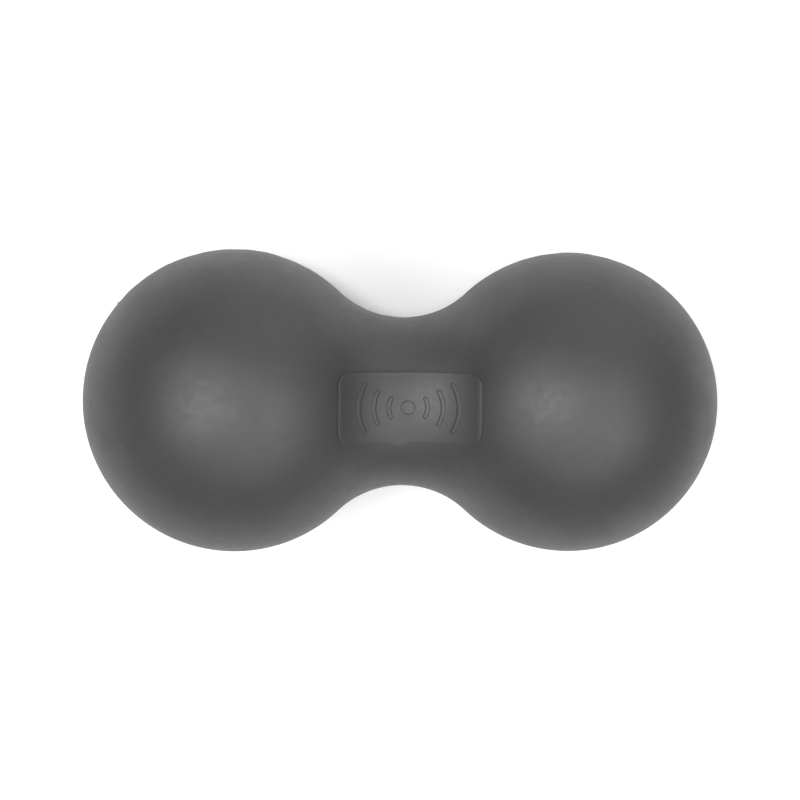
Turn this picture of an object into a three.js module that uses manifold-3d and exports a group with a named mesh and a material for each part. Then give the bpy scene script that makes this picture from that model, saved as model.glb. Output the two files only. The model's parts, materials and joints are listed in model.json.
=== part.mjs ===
// A double massage ball: two solid rubber balls moulded as one body with a rounded waist
// between them, and a thin label pad let into a shallow pocket on top of the waist.
//
// Frame: millimetres, +Z up. The long axis runs along X. The ball lies as it does on a table,
// on a small flat under each ball, and the origin is on the table, halfway between the flats.

import * as THREE from 'three';
import { mergeVertices } from 'three/addons/utils/BufferGeometryUtils.js';
import Module from 'manifold-3d';

// Driving dimensions of the body
const BALL_DIAMETER = 62;
const BALL_SPACING = 68.8;
const WAIST_DIAMETER = 34.8;

// Driving dimensions of the label pad and its pocket
const PAD_LENGTH = 28;
const PAD_WIDTH = 14;
const PAD_OFF_CENTRE = 0.26;
const PAD_CORNER_RADIUS = 2.3;
const PAD_RISE = 0.25;
const PAD_CROWN_RADIUS = 23;
const POCKET_DEPTH = 1;
const PAD_GAP = 0.3;

// The raised ripple pictogram on the pad: a round dot between curved strokes
const RIPPLE_HEIGHT = 0.25;
const RIPPLE_STROKE = 0.9;
const RIPPLE_DOT_DIAMETER = 2.8;
const RIPPLE_RADII = [3.8, 6.8, 9.8];
const RIPPLE_HALF_ANGLE = THREE.MathUtils.degToRad(28);

// Fineness of the faceted surfaces
const SIDES = 48;
const STEPS_WIDEST_TO_TIP = 15;
const STEPS_WIDEST_TO_WAIST = 7;
const WAIST_STEPS = 6;
const CORNER_SEGMENTS = 6;

// Worked out: the waist is an arc that runs smoothly into both balls
const ballRadius = BALL_DIAMETER / 2;
const waistRadius = WAIST_DIAMETER / 2;
const ballOffset = BALL_SPACING / 2;
const waistArcRadius = (ballOffset ** 2 + waistRadius ** 2 - ballRadius ** 2)
  / (2 * (ballRadius - waistRadius));
const waistArcCentre = waistRadius + waistArcRadius;
const tangentAngle = Math.atan2(waistArcCentre, ballOffset);

// Worked out: one step at the widest place of each ball lies level, and the ball rests on it
const ballStep = Math.PI / (2 * STEPS_WIDEST_TO_TIP + 1);
const axisHeight = ballRadius * Math.cos(ballStep / 2);
const crownDrop = PAD_CROWN_RADIUS - waistRadius - PAD_RISE;

const bodyRubber = new THREE.MeshStandardMaterial({ color: 0x454545, roughness: 0.55, metalness: 0 });
const padRubber = new THREE.MeshStandardMaterial({ color: 0x4c4c4c, roughness: 0.5, metalness: 0 });

const wasm = await Module();
wasm.setup();

// Points on an arc of an outline, as (distance from the long axis, place along the long axis).
// Angles are counted from the direction of the long axis.
function arcPoints(centreOut, centreAlong, radius, startAngle, endAngle, steps) {
  const points = [];
  for (let i = 0; i <= steps; i += 1) {
    const angle = startAngle + (endAngle - startAngle) * i / steps;
    const out = centreOut + radius * Math.sin(angle);
    points.push(new THREE.Vector2(out, centreAlong + radius * Math.cos(angle)));
  }
  return points;
}

// The body's outline from tip to tip, moved outwards by an offset.
function bodyOutline(offset) {
  const radius = ballRadius + offset;
  const widest = Math.PI / 2;
  const waist = arcPoints(
    waistArcCentre, 0, waistArcRadius - offset, -widest, -tangentAngle, WAIST_STEPS,
  );
  const shoulder = arcPoints(
    0, ballOffset, radius, Math.PI - tangentAngle, widest + ballStep / 2, STEPS_WIDEST_TO_WAIST,
  );
  const dome = arcPoints(0, ballOffset, radius, widest - ballStep / 2, 0, STEPS_WIDEST_TO_TIP);
  dome.at(-1).x = 0;
  const half = [...waist, ...shoulder.slice(1), ...dome];
  const otherHalf = half.slice(1).reverse().map((point) => new THREE.Vector2(point.x, -point.y));
  return [...otherHalf, ...half];
}

// A three.js geometry as a solid that can be cut and joined.
function toSolid(geometry) {
  geometry.deleteAttribute('normal');
  geometry.deleteAttribute('uv');
  const merged = mergeVertices(geometry, 1e-4);
  return new wasm.Manifold(new wasm.Mesh({
    numProp: 3,
    vertProperties: new Float32Array(merged.attributes.position.array),
    triVerts: new Uint32Array(merged.index.array),
  }));
}

// A finished solid as a named mesh.
function toMesh(solid, name, material) {
  const { vertProperties, triVerts } = solid.getMesh();
  const geometry = new THREE.BufferGeometry();
  geometry.setAttribute('position', new THREE.BufferAttribute(vertProperties, 3));
  geometry.setIndex(new THREE.BufferAttribute(triVerts, 1));
  geometry.computeVertexNormals();
  const mesh = new THREE.Mesh(geometry, material);
  mesh.name = name;
  return mesh;
}

// An outline turned about the long axis, or about a line below it by a drop that is also added
// to every radius: the top line stays, and the surface gets flatter from side to side. The
// facets touch the true round surface at their middles, and one facet lies level at the bottom.
function turnedSolid(outline, drop = 0) {
  const facetStretch = 1 / Math.cos(Math.PI / SIDES);
  const points = outline.map((point) => new THREE.Vector2((point.x + drop) * facetStretch, point.y));
  if (drop > 0) {
    points.unshift(new THREE.Vector2(0, points[0].y));
    points.push(new THREE.Vector2(0, points.at(-1).y));
  }
  const geometry = new THREE.LatheGeometry(points, SIDES, Math.PI / SIDES);
  geometry.rotateZ(-Math.PI / 2);
  geometry.translate(0, 0, axisHeight - drop);
  return toSolid(geometry);
}

// A flat shape drawn about the pad's middle, carried up through the top of the waist. The pad
// sits a touch to the +Y side of the long axis.
function uprightPrism(shape) {
  const geometry = new THREE.ExtrudeGeometry(shape, {
    depth: ballRadius, bevelEnabled: false, curveSegments: CORNER_SEGMENTS,
  });
  geometry.translate(0, PAD_OFF_CENTRE, axisHeight + waistRadius / 2);
  return toSolid(geometry);
}

// The pad's rounded rectangle, grown by a margin all round.
function padShape(margin) {
  const x = PAD_LENGTH / 2 + margin;
  const y = PAD_WIDTH / 2 + margin;
  const r = PAD_CORNER_RADIUS + margin;
  const shape = new THREE.Shape();
  shape.absarc(x - r, y - r, r, 0, Math.PI / 2);
  shape.absarc(r - x, y - r, r, Math.PI / 2, Math.PI);
  shape.absarc(r - x, r - y, r, Math.PI, 1.5 * Math.PI);
  shape.absarc(x - r, r - y, r, 1.5 * Math.PI, 2 * Math.PI);
  shape.closePath();
  return shape;
}

// One curved stroke of the pictogram with round ends, centred on a direction seen from the dot.
function rippleShape(radius, direction) {
  const half = RIPPLE_STROKE / 2;
  const start = direction - RIPPLE_HALF_ANGLE;
  const end = direction + RIPPLE_HALF_ANGLE;
  const shape = new THREE.Shape();
  shape.absarc(0, 0, radius + half, start, end);
  shape.absarc(radius * Math.cos(end), radius * Math.sin(end), half, end, end + Math.PI);
  shape.absarc(0, 0, radius - half, end, start, true);
  shape.absarc(radius * Math.cos(start), radius * Math.sin(start), half, start + Math.PI, start);
  shape.closePath();
  return shape;
}

function ripplePrisms() {
  const dot = new THREE.Shape();
  dot.absarc(0, 0, RIPPLE_DOT_DIAMETER / 2, 0, 2 * Math.PI);
  const shapes = [dot];
  for (const radius of RIPPLE_RADII) {
    shapes.push(rippleShape(radius, 0), rippleShape(radius, Math.PI));
  }
  return shapes.map(uprightPrism).reduce((joined, prism) => joined.add(prism));
}

// Both balls and the waist, with the pocket for the pad.
function rubberBody() {
  const pocketFloor = turnedSolid(bodyOutline(-POCKET_DEPTH));
  const pocket = uprightPrism(padShape(PAD_GAP)).subtract(pocketFloor);
  const solid = turnedSolid(bodyOutline(0)).subtract(pocket);
  return toMesh(solid, 'rubber_body', bodyRubber);
}

// The pad follows the waist lengthwise, is flatter across it, and stands a little proud.
function labelPad() {
  const underside = turnedSolid(bodyOutline(PAD_GAP - POCKET_DEPTH));
  const face = turnedSolid(bodyOutline(PAD_RISE), crownDrop);
  const raisedFace = turnedSolid(bodyOutline(PAD_RISE + RIPPLE_HEIGHT), crownDrop);
  const plate = uprightPrism(padShape(0)).intersect(face);
  const ripples = ripplePrisms().intersect(raisedFace);
  return toMesh(plate.add(ripples).subtract(underside), 'label_pad', padRubber);
}

const massageBall = new THREE.Group();
massageBall.name = 'massage_ball';
massageBall.add(rubberBody(), labelPad());

export default massageBall;
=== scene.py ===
import json
import math

import bmesh
import bpy
import numpy as np
from mathutils import Matrix, Vector


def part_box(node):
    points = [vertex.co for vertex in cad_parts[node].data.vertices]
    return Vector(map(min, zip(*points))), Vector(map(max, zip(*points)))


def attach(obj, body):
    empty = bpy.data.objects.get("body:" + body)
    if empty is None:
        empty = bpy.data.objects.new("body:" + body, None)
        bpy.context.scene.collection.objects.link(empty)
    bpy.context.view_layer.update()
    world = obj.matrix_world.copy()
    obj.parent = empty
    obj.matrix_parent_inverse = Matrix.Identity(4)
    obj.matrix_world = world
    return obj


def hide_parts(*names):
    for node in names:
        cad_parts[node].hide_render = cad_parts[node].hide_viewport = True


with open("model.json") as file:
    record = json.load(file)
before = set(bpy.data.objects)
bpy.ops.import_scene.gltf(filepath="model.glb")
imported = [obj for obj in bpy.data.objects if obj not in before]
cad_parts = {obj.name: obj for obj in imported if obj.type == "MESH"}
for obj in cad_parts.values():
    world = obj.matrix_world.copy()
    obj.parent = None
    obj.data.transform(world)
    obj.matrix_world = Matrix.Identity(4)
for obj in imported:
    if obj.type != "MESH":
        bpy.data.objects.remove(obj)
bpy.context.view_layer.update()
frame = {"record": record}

# A double massage ball of solid grey rubber, lying on a white table with its label pad up.
# Everything is in metres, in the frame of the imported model: +X along the ball, +Z up.

MM = 0.001

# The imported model's boxes and mounts, and the body's sizes, which follow from them and from the
# thickness of the waist
body_low, body_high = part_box("rubber_body")
pad_low, pad_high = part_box("label_pad")
mounts = {mount["name"]: mount for mount in frame["record"]["mounts"]}
BALL_OFFSET = mounts["rest_right"]["pos_m"][0]
BALL_RADIUS = body_high.x - BALL_OFFSET
AXIS_HEIGHT = (body_low.z + body_high.z) / 2
WAIST_RADIUS = 17.4 * MM
WAIST_ARC_RADIUS = (BALL_OFFSET ** 2 + WAIST_RADIUS ** 2 - BALL_RADIUS ** 2) / (
    2 * (BALL_RADIUS - WAIST_RADIUS)
)
WAIST_ARC_CENTRE = WAIST_RADIUS + WAIST_ARC_RADIUS
TANGENT_ANGLE = math.atan2(WAIST_ARC_CENTRE, BALL_OFFSET)

# The parting line of the mould runs round the body, level with the long axis: a trimmed fin of
# flash of uneven height, in a narrow band that was buffed. The fin's height is a sum of waves, each
# with its count round the object, its phase and its share. The mesh is fine for FLASH_REACH half
# widths on both sides of the line, and its even spacing stops FLASH_CLEARANCE times as far away.
# PARTING_LINES are the line's angles round the long axis.
FLASH_HEIGHT = 0.06 * MM
FLASH_UNEVENNESS = 0.045 * MM
FLASH_HALF_WIDTH = 0.16 * MM
FLASH_WAVES = ((19, 0.7, 1.0), (43, 2.1, 0.8), (97, 4.0, 0.6))
FLASH_WAVE_LIMIT = 1.6
FLASH_REACH = 3
FLASH_CLEARANCE = 1.5
PARTING_LINES = (math.pi / 2, 1.5 * math.pi)
BUFFED_HALF_WIDTH = 1.1 * MM
BUFFED_CORE_SHARE = 0.4
BUFFED_RAGGED_SIZE = 2 * MM
BUFFED_RAGGED_DEPTH = 0.4 * MM
BUFFED_SHADE = 1.12
BUFFED_ROUGHNESS = 0.12

# A nub of flash that the trimming left on the ball on -X. It stands out of the ball as far as its
# root goes into it.
NUB_HEADING = math.radians(140.2)
NUB_LENGTH = 0.55 * MM
NUB_STAND = 0.2 * MM
NUB_THICKNESS = 0.3 * MM
NUB_BLUNTNESS = 0.6
NUB_RAGGEDNESS = 0.12
NUB_LOBES = 3
NUB_LOBE_PHASE = 1

# The pad and the pocket that it sits in. The rim is rounded over its full width at the pad's ends,
# and over a small share of it along the sides.
PAD_HALF_LENGTH = (pad_high.x - pad_low.x) / 2
PAD_HALF_WIDTH = (pad_high.y - pad_low.y) / 2
PAD_CENTRE_Y = (pad_high.y + pad_low.y) / 2
PAD_MIDDLE = np.array([0, PAD_CENTRE_Y])
PAD_CORNER_RADIUS = 2.3 * MM
PAD_RISE = 0.25 * MM
PAD_CROWN_RADIUS = 23 * MM
PAD_CROWN_DROP = PAD_CROWN_RADIUS - WAIST_RADIUS - PAD_RISE
PAD_DEPTH = 0.9 * MM
PAD_RIM_WIDTH = 1.0 * MM
PAD_RIM_ANGLE = math.radians(20)
PAD_RIM_RADIUS = PAD_RIM_WIDTH / math.sin(PAD_RIM_ANGLE)
PAD_RIM_SIDE_SHARE = 0.07
POCKET_GAP = 0.012 * MM
POCKET_DEPTH = 1.0 * MM

# A faint bead stands just inside the pad's back edge, and fades towards +X
BEAD_HEIGHT = 0.08 * MM
BEAD_INSET = 0.25 * MM
BEAD_HALF_WIDTH = 0.25 * MM
BEAD_FADE_MIDDLE = -1.5 * MM
BEAD_FADE_LENGTH = 4 * MM
BEAD_LOWEST_SHARE = 0.1

# A lip of rubber runs out of the pad's front edge where the waist is thinnest
LIP_REACH = 0.6 * MM
LIP_MIDDLE = -1.6 * MM
LIP_HALF_LENGTH = 1.7 * MM
LIP_SQUARENESS = 4

# The raised ripple pictogram
RIPPLE_HEIGHT = 0.25 * MM
RIPPLE_HALF_STROKE = 0.42 * MM
RIPPLE_EDGE_RADIUS = 0.22 * MM
RIPPLE_DOT_RADIUS = 1.4 * MM
RIPPLE_RADII = (3.8 * MM, 6.8 * MM, 9.8 * MM)
RIPPLE_HALF_ANGLE = math.radians(28)

# Fineness of the meshes. The loops of a face crowd towards its rim by the power FACE_CROWDING, and
# edges sharper than SMOOTH_ANGLE stay sharp.
WAIST_STEPS = 46
BALL_STEPS = 110
TURN_STEPS = 300
FLASH_POINTS = 17
NUB_POINTS = 24
NUB_RINGS = 9
PAD_SIDE_SPACING = 0.35 * MM
PAD_CORNER_POINTS = 24
PAD_FACE_STEPS = 26
POCKET_FLOOR_RINGS = 25
RIM_RINGS = 9
STROKE_ARC_POINTS = 60
STROKE_CAP_POINTS = 14
STROKE_FACE_STEPS = 4
DOT_POINTS = 72
FACE_CROWDING = 2
SMOOTH_ANGLE = math.radians(40)

# Tolerances: the spread below which a loop has shrunk to a line, and the distances below which
# points are welded and edges are dissolved
NO_SPREAD = 1e-6
WELD_DISTANCE = 1e-7
SLIVER_DISTANCE = 1e-8

# The rubber. It varies in layers of noise, each with the size of its patches and the share by which
# they change the shade or the roughness, or the depth of its bumps. Almost all of the noise lies in
# NOISE_RANGE.
BODY_GREY = 0.03
BODY_ROUGHNESS = 0.57
PAD_GREY = 0.032
PAD_ROUGHNESS = 0.58
RUBBER_SPECULAR = 0.9
SHADE_LAYERS = ((14 * MM, 0.04), (2.4 * MM, 0.04), (0.6 * MM, 0.05))
ROUGHNESS_LAYERS = ((9 * MM, 0.06), (1.3 * MM, 0.05))
BUMP_LAYERS = ((7 * MM, 0.015 * MM), (0.4 * MM, 0.005 * MM))
NOISE_DETAIL = 3
NOISE_RANGE = (0.3, 0.7)

# The camera: almost straight above, a little to the left and to the back
CAMERA_LENS_MM = 78.75
CAMERA_SENSOR_MM = 36
CAMERA_NEAREST = 10 * MM
CAMERA_DISTANCE = 362.9 * MM
CAMERA_LEAN_LEFT = math.radians(3.88)
CAMERA_LEAN_BACK = math.radians(4.88)
CAMERA_ROLL = math.radians(0.61)
CAMERA_AIM = Vector((-0.43 * MM, 0.26 * MM, AXIS_HEIGHT))

# The studio: a name, a lean from straight above and a heading from +X in degrees, a width and a
# length in metres, and a power in watts for each softbox. The table glows faintly, as it would on a
# light table, so that only a trace of shadow is left on it.
SOFTBOX_DISTANCE = 1.0
SOFTBOXES = (
    ("softbox_left", 31.5, 180, 0.15, 0.9, 5.73),
    ("softbox_left_small", 11, 154, 0.35, 0.1, 3.78),
    ("softbox_right", 31.5, 3, 0.15, 0.8, 3.22),
    ("softbox_back", 69, 70, 0.3, 1.3, 2.55),
    ("softbox_front", 38, -60, 0.1, 1.0, 3.78),
)
STUDIO_BRIGHTNESS = 0.035
BACKDROP_BRIGHTNESS = 1.2
TABLE_GREY = 0.9
TABLE_ROUGHNESS = 0.8
TABLE_GLOW = 0.22
TABLE_RADIUS = 0.55
TABLE_SIDES = 128
TABLE_CLEARANCE = 0.02 * MM


# ---------------------------------------------------------------- meshes

def has_no_area(loop):
    """True for a loop that has shrunk to a line or a point: nothing is left to close."""
    middle = loop - loop.mean(axis=0)
    return np.linalg.svd(middle, compute_uv=False)[1] < NO_SPREAD * len(loop)


def mesh_from_loops(name, loops):
    """A closed mesh through a stack of loops, each (points, 3). The first and the last loop are
    closed with a face, unless they have shrunk to a line or a point."""
    loops = np.asarray(loops, float)
    count, size = loops.shape[:2]
    vertices = loops.reshape(-1, 3)
    faces = []
    if not has_no_area(loops[0]):
        faces.append(tuple(range(size))[::-1])
    for row in range(count - 1):
        for i in range(size):
            j = (i + 1) % size
            faces.append((row * size + i, row * size + j, (row + 1) * size + j, (row + 1) * size + i))
    if not has_no_area(loops[-1]):
        faces.append(tuple((count - 1) * size + i for i in range(size)))
    mesh = bpy.data.meshes.new(name)
    mesh.from_pydata(vertices.tolist(), [], faces)
    bm = bmesh.new()
    bm.from_mesh(mesh)
    bmesh.ops.remove_doubles(bm, verts=bm.verts, dist=WELD_DISTANCE)
    bmesh.ops.dissolve_degenerate(bm, dist=SLIVER_DISTANCE, edges=bm.edges)
    bmesh.ops.recalc_face_normals(bm, faces=bm.faces)
    bm.to_mesh(mesh)
    bm.free()
    return mesh


def add_piece(name, mesh, material):
    piece = bpy.data.objects.new(name, mesh)
    bpy.context.scene.collection.objects.link(piece)
    mesh.materials.append(material)
    return piece


def join_meshes(piece, meshes):
    bm = bmesh.new()
    bm.from_mesh(piece.data)
    for mesh in meshes:
        bm.from_mesh(mesh)
        bpy.data.meshes.remove(mesh)
    bm.to_mesh(piece.data)
    bm.free()


def soften(piece):
    """Shades the piece smooth, except across its sharp edges."""
    piece.data.polygons.foreach_set("use_smooth", [True] * len(piece.data.polygons))
    piece.data.set_sharp_from_angle(angle=SMOOTH_ANGLE)


def circle_points(radius, angle):
    return radius * np.stack([np.cos(angle), np.sin(angle)], axis=-1)


# ---------------------------------------------------------------- surfaces

def outline_radius(x, offset):
    """Distance from the long axis to the body's surface, which is moved outwards by the offset."""
    x = np.abs(np.asarray(x, float))
    arc = WAIST_ARC_RADIUS - offset
    ball = BALL_RADIUS + offset
    tangent_x = arc * math.cos(TANGENT_ANGLE)
    waist = WAIST_ARC_CENTRE - np.sqrt(np.maximum(arc ** 2 - x ** 2, 0))
    dome = np.sqrt(np.maximum(ball ** 2 - (x - BALL_OFFSET) ** 2, 0))
    return np.where(x < tangent_x, waist, dome)


def body_height(x, y, offset):
    """Height of the body's upper surface, moved outwards by the offset, over a point of the table."""
    return AXIS_HEIGHT + np.sqrt(outline_radius(x, offset) ** 2 - y ** 2)


def bead_height(x, y):
    """Height of the bead at the pad's back edge over the pad's face."""
    from_crest = PAD_CENTRE_Y + PAD_HALF_WIDTH - BEAD_INSET - y
    fade = (1 - np.tanh((x - BEAD_FADE_MIDDLE) / BEAD_FADE_LENGTH)) / 2
    share = BEAD_LOWEST_SHARE + (1 - BEAD_LOWEST_SHARE) * fade
    return BEAD_HEIGHT * share * np.exp(-(from_crest / BEAD_HALF_WIDTH) ** 2)


def pad_height(x, y):
    """Height of the pad's face: lengthwise it follows the waist, sideways it is flatter."""
    crown = np.sqrt((outline_radius(x, PAD_RISE) + PAD_CROWN_DROP) ** 2 - y ** 2)
    return AXIS_HEIGHT - PAD_CROWN_DROP + crown + bead_height(x, y)


# ---------------------------------------------------------------- body

def outline_stations():
    """Points of the body's outline from tip to tip, as (x, distance from the axis)."""
    angle = np.linspace(-math.pi / 2, -TANGENT_ANGLE, WAIST_STEPS + 1)
    waist_x = WAIST_ARC_RADIUS * np.cos(angle)
    waist_out = WAIST_ARC_CENTRE + WAIST_ARC_RADIUS * np.sin(angle)
    angle = np.linspace(math.pi - TANGENT_ANGLE, 0, BALL_STEPS + 1)[1:]
    ball_x = BALL_OFFSET + BALL_RADIUS * np.cos(angle)
    ball_out = BALL_RADIUS * np.sin(angle)
    x = np.concatenate([waist_x, ball_x])
    out = np.concatenate([waist_out, ball_out])
    return np.concatenate([-x[:0:-1], x]), np.concatenate([out[:0:-1], out])


def turn_angles():
    """Angles round the long axis, close together at the two parting lines."""
    fine = np.linspace(-1, 1, FLASH_POINTS) * FLASH_REACH * FLASH_HALF_WIDTH / BALL_RADIUS
    clear = fine[-1] * FLASH_CLEARANCE
    even = np.arange(TURN_STEPS) * 2 * math.pi / TURN_STEPS
    away = [angle for angle in even if min(abs(angle - line) for line in PARTING_LINES) > clear]
    return np.sort(np.concatenate([away] + [line + fine for line in PARTING_LINES]))


def flash_height(x, y):
    """Height of the flash fin along the parting line: it comes and goes every few millimetres."""
    along = np.arctan2(y, x)
    waves = sum(share * np.sin(count * along + phase) for count, phase, share in FLASH_WAVES)
    return FLASH_HEIGHT + FLASH_UNEVENNESS * np.clip(waves / FLASH_WAVE_LIMIT, -1, 1)


def body_mesh():
    """The outline turned about the long axis, with the flash drawn out along the parting line and
    a small flat pressed under each ball where it would dip below the table."""
    x, out = outline_stations()
    turn = turn_angles()
    loops = np.empty((len(x), len(turn), 3))
    loops[:, :, 0] = x[:, None]
    loops[:, :, 1] = out[:, None] * np.sin(turn)
    loops[:, :, 2] = out[:, None] * np.cos(turn)
    fin = flash_height(loops[:, :, 0], loops[:, :, 1])
    fin *= np.exp(-(loops[:, :, 2] / FLASH_HALF_WIDTH) ** 2) / BALL_RADIUS
    centre = np.clip(x, -BALL_OFFSET, BALL_OFFSET)[:, None]
    loops[:, :, 0] = centre + (loops[:, :, 0] - centre) * (1 + fin)
    loops[:, :, 1] *= 1 + fin
    loops[:, :, 2] += AXIS_HEIGHT
    loops[:, :, 2] = np.maximum(loops[:, :, 2], 0)
    return mesh_from_loops("rubber_body_surface", loops)


def nub_mesh():
    """A torn stub of flash: a blunt bead, flat sided and thickest at its root."""
    outward = np.array([math.cos(NUB_HEADING), math.sin(NUB_HEADING), 0])
    along = np.array([-outward[1], outward[0], 0])
    root = np.array([-BALL_OFFSET, 0, AXIS_HEIGHT]) + outward * (BALL_RADIUS - NUB_STAND)
    turn = np.linspace(0, 2 * math.pi, NUB_POINTS, endpoint=False)
    ragged = 1 + NUB_RAGGEDNESS * np.sin(NUB_LOBES * turn + NUB_LOBE_PHASE)
    loops = []
    for rise in np.linspace(0, math.pi / 2, NUB_RINGS):
        reach = 2 * NUB_STAND * math.sin(rise)
        width = math.cos(rise) ** NUB_BLUNTNESS
        loops.append(
            root + outward * reach
            + np.outer(np.cos(turn) * ragged * width * NUB_LENGTH / 2, along)
            + np.outer(np.sin(turn) * ragged * width * NUB_THICKNESS / 2, (0, 0, 1))
        )
    return mesh_from_loops("flash_nub", loops)


# ---------------------------------------------------------------- pad

def rounded_rectangle(half_x, half_y, radius):
    """Points round a rounded rectangle, always as many whatever its size. Each corner has its sides
    of the middle and the heading at which its arc starts."""
    long_points = round(2 * PAD_HALF_LENGTH / PAD_SIDE_SPACING)
    short_points = round(2 * PAD_HALF_WIDTH / PAD_SIDE_SPACING)
    corners = ((1, 1, 0), (-1, 1, 90), (-1, -1, 180), (1, -1, 270))
    arcs = []
    for side_x, side_y, start in corners:
        centre = np.array([side_x * (half_x - radius), side_y * (half_y - radius)])
        angle = np.radians(start + np.linspace(0, 90, PAD_CORNER_POINTS))
        arcs.append(centre + circle_points(radius, angle))
    points = []
    for index, side_points in enumerate((long_points, short_points, long_points, short_points)):
        arc = arcs[index]
        landing = arcs[(index + 1) % 4][0]
        share = np.linspace(0, 1, side_points + 2)[1:-1, None]
        points += [arc, arc[-1] + (landing - arc[-1]) * share]
    return np.concatenate(points)


def pad_outline(inset):
    """The pad's edge with the lip in its front side, moved inwards or, by an inset below 0,
    outwards. Inwards it moves less along the long sides, which makes the rim broad and soft at the
    ends and crisp along the sides."""
    side_inset = inset if inset < 0 else inset * PAD_RIM_SIDE_SHARE
    points = rounded_rectangle(
        PAD_HALF_LENGTH - inset, PAD_HALF_WIDTH - side_inset, PAD_CORNER_RADIUS - inset
    )
    lip = LIP_REACH * np.exp(-((points[:, 0] - LIP_MIDDLE) / LIP_HALF_LENGTH) ** LIP_SQUARENESS)
    points[:, 1] += PAD_CENTRE_Y + lip * np.minimum(points[:, 1] / PAD_HALF_WIDTH, 0)
    return points


def plate_loops(outline, face, rim_radius, rim_angle, depth, spine, steps):
    """Loops of a thin plate: out across its underside from a spine line, up its side, over a rim
    rounded through an angle, and back across its face to the spine. On the face the loops crowd
    towards the rim."""
    def loop(points, drop):
        return np.column_stack([points, face(points) - drop])

    edge = outline(0)
    rim = outline(rim_radius * math.sin(rim_angle))
    shares = np.linspace(0, 1, steps + 1)
    loops = [loop(edge + (spine(edge) - edge) * share, depth) for share in shares[::-1]]
    for angle in np.linspace(rim_angle, 0, RIM_RINGS):
        inset = rim_radius * (math.sin(rim_angle) - math.sin(angle))
        loops.append(loop(outline(inset), rim_radius * (1 - math.cos(angle))))
    loops += [loop(rim + (spine(rim) - rim) * share ** FACE_CROWDING, 0) for share in shares[1:]]
    return loops


def pad_spine(points):
    """The nearest places to the points on the line along the pad's middle."""
    reach = PAD_HALF_LENGTH - PAD_HALF_WIDTH
    return np.column_stack([np.clip(points[:, 0], -reach, reach), np.full(len(points), PAD_CENTRE_Y)])


def pad_mesh():
    def face(points):
        return pad_height(points[:, 0], points[:, 1])

    return mesh_from_loops("label_pad_face", plate_loops(
        pad_outline, face, PAD_RIM_RADIUS, PAD_RIM_ANGLE, PAD_DEPTH, pad_spine, PAD_FACE_STEPS
    ))


def pocket_cutter():
    """The pocket's space: the pad's outline grown by the gap, from the pocket's floor upwards."""
    edge = pad_outline(-POCKET_GAP)
    loops = []
    for share in np.linspace(1, 0, POCKET_FLOOR_RINGS):
        points = edge + (pad_spine(edge) - edge) * share
        loops.append(np.column_stack([points, body_height(points[:, 0], points[:, 1], -POCKET_DEPTH)]))
    top = np.full(len(edge), AXIS_HEIGHT + BALL_RADIUS)
    loops.append(np.column_stack([edge, top]))
    return mesh_from_loops("pocket_space", loops)


# ---------------------------------------------------------------- pictogram

def stroke_outline(radius, direction):
    """The outline of a curved stroke with round ends, as a function of an inset."""
    start = direction - RIPPLE_HALF_ANGLE
    end = direction + RIPPLE_HALF_ANGLE

    def arc(at_radius, first, last):
        return PAD_MIDDLE + circle_points(at_radius, np.linspace(first, last, STROKE_ARC_POINTS))

    def cap(angle, width, first):
        turn = first + np.linspace(0, math.pi, STROKE_CAP_POINTS)[1:-1]
        return PAD_MIDDLE + circle_points(radius, angle) + circle_points(width, turn)

    def outline(inset):
        half = RIPPLE_HALF_STROKE - inset
        return np.concatenate([
            arc(radius + half, start, end), cap(end, half, end),
            arc(radius - half, end, start), cap(start, half, start + math.pi),
        ])

    return outline


def dot_outline(inset):
    angle = np.linspace(0, 2 * math.pi, DOT_POINTS, endpoint=False)
    return PAD_MIDDLE + circle_points(RIPPLE_DOT_RADIUS - inset, angle)


def raised_mark(name, outline, half_width):
    """One raised stroke with a rounded edge, rooted in the pad."""
    def face(points):
        return pad_height(points[:, 0], points[:, 1]) + RIPPLE_HEIGHT

    middle = outline(half_width)
    return mesh_from_loops(name, plate_loops(
        outline, face, RIPPLE_EDGE_RADIUS, math.pi / 2, 2 * RIPPLE_HEIGHT, lambda points: middle,
        STROKE_FACE_STEPS
    ))


def pictogram_meshes():
    marks = [raised_mark("ripple_dot", dot_outline, RIPPLE_DOT_RADIUS)]
    for number, radius in enumerate(RIPPLE_RADII):
        for side, direction in (("right", 0.0), ("left", math.pi)):
            name = f"ripple_{side}_{number}"
            marks.append(raised_mark(name, stroke_outline(radius, direction), RIPPLE_HALF_STROKE))
    return marks


# ---------------------------------------------------------------- materials

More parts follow.
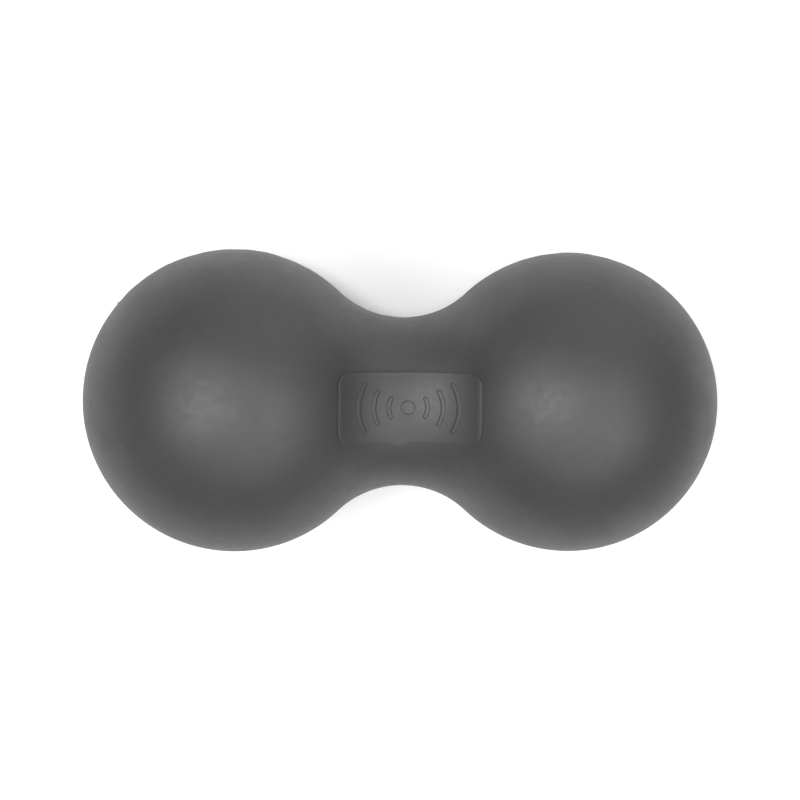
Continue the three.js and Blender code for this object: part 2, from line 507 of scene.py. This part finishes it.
class Nodes:
    """A short way to add and wire the nodes of one material."""

    def __init__(self, material):
        material.use_nodes = True
        self.tree = material.node_tree
        self.shader = self.tree.nodes["Principled BSDF"]

    def add(self, kind, **settings):
        node = self.tree.nodes.new(kind)
        for name, value in settings.items():
            setattr(node, name, value)
        return node

    def wire(self, source, target):
        self.tree.links.new(source, target)

    def noise(self, place, size):
        """Noise with patches of about that size, in metres, from 0 to 1."""
        node = self.add("ShaderNodeTexNoise")
        node.inputs["Scale"].default_value = 1 / size
        node.inputs["Detail"].default_value = NOISE_DETAIL
        self.wire(place, node.inputs["Vector"])
        return node.outputs["Fac"]

    def spread(self, value, low_in, high_in, low_out, high_out, smooth=False):
        """The value carried from one range to another, and held at the ends."""
        node = self.add("ShaderNodeMapRange")
        node.interpolation_type = "SMOOTHSTEP" if smooth else "LINEAR"
        settings = {"From Min": low_in, "From Max": high_in, "To Min": low_out, "To Max": high_out}
        for name, number in settings.items():
            node.inputs[name].default_value = number
        self.wire(value, node.inputs["Value"])
        return node.outputs["Result"]

    def math(self, operation, first, second=None):
        node = self.add("ShaderNodeMath", operation=operation)
        for socket, value in zip(node.inputs, (first, second)):
            if isinstance(value, (int, float)):
                socket.default_value = value
            elif value is not None:
                self.wire(value, socket)
        return node.outputs[0]

    def bump(self, height, depth, below=None):
        """A surface that is raised by the height times a depth, on top of the bumps below it."""
        node = self.add("ShaderNodeBump")
        node.inputs["Distance"].default_value = depth
        self.wire(height, node.inputs["Height"])
        if below is not None:
            self.wire(below, node.inputs["Normal"])
        return node.outputs["Normal"]


def varied(nodes, place, middle, layers):
    """A number that varies about its middle: each layer of noise changes it by up to its share."""
    value = middle
    for size, share in layers:
        noise = nodes.noise(place, size)
        factor = nodes.spread(noise, *NOISE_RANGE, 1 - share, 1 + share)
        value = nodes.math("MULTIPLY", factor, value)
    return value


def buffed_band(nodes, place):
    """1 on the parting line and 0 away from it, with a ragged edge."""
    height = nodes.add("ShaderNodeSeparateXYZ")
    nodes.wire(place, height.inputs[0])
    from_line = nodes.math("ABSOLUTE", nodes.math("SUBTRACT", height.outputs["Z"], AXIS_HEIGHT))
    noise = nodes.noise(place, BUFFED_RAGGED_SIZE)
    ragged = nodes.spread(noise, *NOISE_RANGE, -BUFFED_RAGGED_DEPTH, BUFFED_RAGGED_DEPTH)
    distance = nodes.math("ADD", from_line, ragged)
    core_half_width = BUFFED_HALF_WIDTH * BUFFED_CORE_SHARE
    return nodes.spread(distance, core_half_width, BUFFED_HALF_WIDTH, 1.0, 0.0, smooth=True)


def rubber_material(name, grey, roughness, has_parting_line):
    """Satin moulded rubber: cloudy and mottled, with a fine moulded grain. A parting line is duller
    and a little paler, where it was buffed."""
    material = bpy.data.materials.new(name)
    nodes = Nodes(material)
    place = nodes.add("ShaderNodeTexCoord").outputs["Object"]
    shade = varied(nodes, place, grey, SHADE_LAYERS)
    dull = varied(nodes, place, roughness, ROUGHNESS_LAYERS)
    if has_parting_line:
        buffed = buffed_band(nodes, place)
        shade = nodes.math("MULTIPLY", shade, nodes.spread(buffed, 0, 1, 1, BUFFED_SHADE))
        dull = nodes.math("ADD", dull, nodes.math("MULTIPLY", buffed, BUFFED_ROUGHNESS))
    colour = nodes.add("ShaderNodeCombineColor")
    for channel in ("Red", "Green", "Blue"):
        nodes.wire(shade, colour.inputs[channel])
    surface = None
    for size, depth in BUMP_LAYERS:
        surface = nodes.bump(nodes.noise(place, size), depth, surface)
    nodes.wire(colour.outputs["Color"], nodes.shader.inputs["Base Color"])
    nodes.wire(dull, nodes.shader.inputs["Roughness"])
    nodes.wire(surface, nodes.shader.inputs["Normal"])
    nodes.shader.inputs["Specular IOR Level"].default_value = RUBBER_SPECULAR
    return material


# ---------------------------------------------------------------- pieces

def cut_pocket(piece):
    """Cuts the pad's pocket out of the body."""
    cutter = bpy.data.objects.new("pocket_space", pocket_cutter())
    bpy.context.scene.collection.objects.link(cutter)
    cut = piece.modifiers.new("pocket", "BOOLEAN")
    cut.operation = "DIFFERENCE"
    cut.solver = "EXACT"
    cut.object = cutter
    bpy.context.view_layer.update()
    evaluated = piece.evaluated_get(bpy.context.evaluated_depsgraph_get())
    finished = bpy.data.meshes.new_from_object(evaluated)
    piece.modifiers.clear()
    piece.data = finished
    bpy.data.objects.remove(cutter)


def make_body():
    body_rubber = rubber_material("body_rubber", BODY_GREY, BODY_ROUGHNESS, has_parting_line=True)
    piece = add_piece("massage_ball_body", body_mesh(), body_rubber)
    cut_pocket(piece)
    join_meshes(piece, [nub_mesh()])
    soften(piece)
    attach(piece, "root")
    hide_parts("rubber_body")


def make_pad():
    pad_rubber = rubber_material("pad_rubber", PAD_GREY, PAD_ROUGHNESS, has_parting_line=False)
    piece = add_piece("label_badge", pad_mesh(), pad_rubber)
    join_meshes(piece, pictogram_meshes())
    soften(piece)
    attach(piece, "root")
    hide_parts("label_pad")


# ---------------------------------------------------------------- stage

def make_floor():
    """A round white table top, a hair below the flats that touch it."""
    turn = np.linspace(0, 2 * math.pi, TABLE_SIDES, endpoint=False)
    rim = circle_points(TABLE_RADIUS, turn)
    corners = np.column_stack([rim, np.full(TABLE_SIDES, -TABLE_CLEARANCE)])
    mesh = bpy.data.meshes.new("floor")
    mesh.from_pydata(corners.tolist(), [], [tuple(range(TABLE_SIDES))])
    floor = bpy.data.objects.new("floor", mesh)
    bpy.context.scene.collection.objects.link(floor)
    material = bpy.data.materials.new("white_table")
    material.use_nodes = True
    shader = material.node_tree.nodes["Principled BSDF"]
    shader.inputs["Base Color"].default_value = (TABLE_GREY, TABLE_GREY, TABLE_GREY, 1)
    shader.inputs["Roughness"].default_value = TABLE_ROUGHNESS
    shader.inputs["Emission Color"].default_value = (1, 1, 1, 1)
    shader.inputs["Emission Strength"].default_value = TABLE_GLOW
    mesh.materials.append(material)


def make_world():
    """A dim white studio, with a white backdrop where the camera looks past the table."""
    world = bpy.data.worlds.new("studio_white")
    world.use_nodes = True
    tree = world.node_tree
    background = tree.nodes["Background"]
    background.inputs["Color"].default_value = (1, 1, 1, 1)
    brightness = tree.nodes.new("ShaderNodeMapRange")
    brightness.inputs["To Min"].default_value = STUDIO_BRIGHTNESS
    brightness.inputs["To Max"].default_value = BACKDROP_BRIGHTNESS
    light_path = tree.nodes.new("ShaderNodeLightPath")
    tree.links.new(light_path.outputs["Is Camera Ray"], brightness.inputs["Value"])
    tree.links.new(brightness.outputs["Result"], background.inputs["Strength"])
    bpy.context.scene.world = world


def make_softbox(name, lean_degrees, heading_degrees, width, length, power):
    """A softbox that looks at the object, with its length across its heading."""
    lean = math.radians(lean_degrees)
    heading = math.radians(heading_degrees)
    light = bpy.data.lights.new(name, "AREA")
    light.shape = "RECTANGLE"
    light.size = width
    light.size_y = length
    light.energy = power
    box = bpy.data.objects.new(name, light)
    back = Vector((math.sin(lean) * math.cos(heading), math.sin(lean) * math.sin(heading), math.cos(lean)))
    across = Vector((-math.sin(heading), math.cos(heading), 0))
    rotation = Matrix((across.cross(back), across, back)).transposed()
    box.matrix_world = Matrix.Translation(CAMERA_AIM + back * SOFTBOX_DISTANCE) @ rotation.to_4x4()
    box.visible_camera = False
    bpy.context.scene.collection.objects.link(box)


def make_camera():
    data = bpy.data.cameras.new("camera")
    data.lens = CAMERA_LENS_MM
    data.sensor_width = CAMERA_SENSOR_MM
    data.clip_start = CAMERA_NEAREST
    camera = bpy.data.objects.new("camera", data)
    back = Vector((
        -math.sin(CAMERA_LEAN_LEFT) * math.cos(CAMERA_LEAN_BACK),
        math.sin(CAMERA_LEAN_BACK),
        math.cos(CAMERA_LEAN_LEFT) * math.cos(CAMERA_LEAN_BACK),
    ))
    right = Vector((0, 1, 0)).cross(back).normalized()
    up = back.cross(right)
    turn = Matrix.Rotation(CAMERA_ROLL, 3, back)
    rotation = Matrix((turn @ right, turn @ up, back)).transposed()
    camera.matrix_world = Matrix.Translation(CAMERA_AIM + back * CAMERA_DISTANCE) @ rotation.to_4x4()
    bpy.context.scene.collection.objects.link(camera)
    bpy.context.scene.camera = camera


make_body()
make_pad()
make_floor()
make_world()
for softbox in SOFTBOXES:
    make_softbox(*softbox)
make_camera()
bpy.context.scene.view_settings.view_transform = "Standard"
